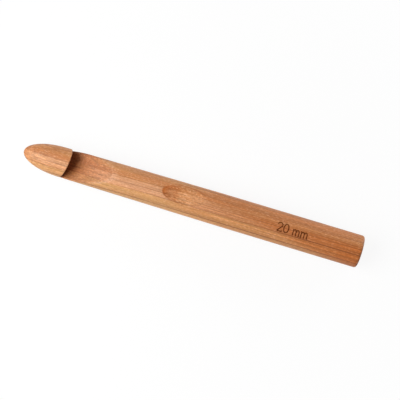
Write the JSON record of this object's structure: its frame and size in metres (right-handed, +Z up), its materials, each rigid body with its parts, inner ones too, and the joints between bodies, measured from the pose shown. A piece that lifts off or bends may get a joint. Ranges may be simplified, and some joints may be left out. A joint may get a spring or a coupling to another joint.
{
  "type": "crochet hook",
  "caption": "Straight wooden crochet hook with a bullet-shaped nose, an undercut throat that catches the yarn, a shallow thumb rest and a round handle.",
  "frame": {"origin": "under the middle of the hook's length, on the surface that it lies on with its throat up", "axes": "+X along the hook from the tip to the butt, +Z up out of the throat and the thumb rest, +Y across the hook"},
  "size_m": [0.215, 0.02, 0.02],
  "materials": {
    "wood": "satin, oiled and waxed, with fine straight grain"
  },
  "bodies": {
    "root": {"hook": "wood"}
  },
  "joints": []
}
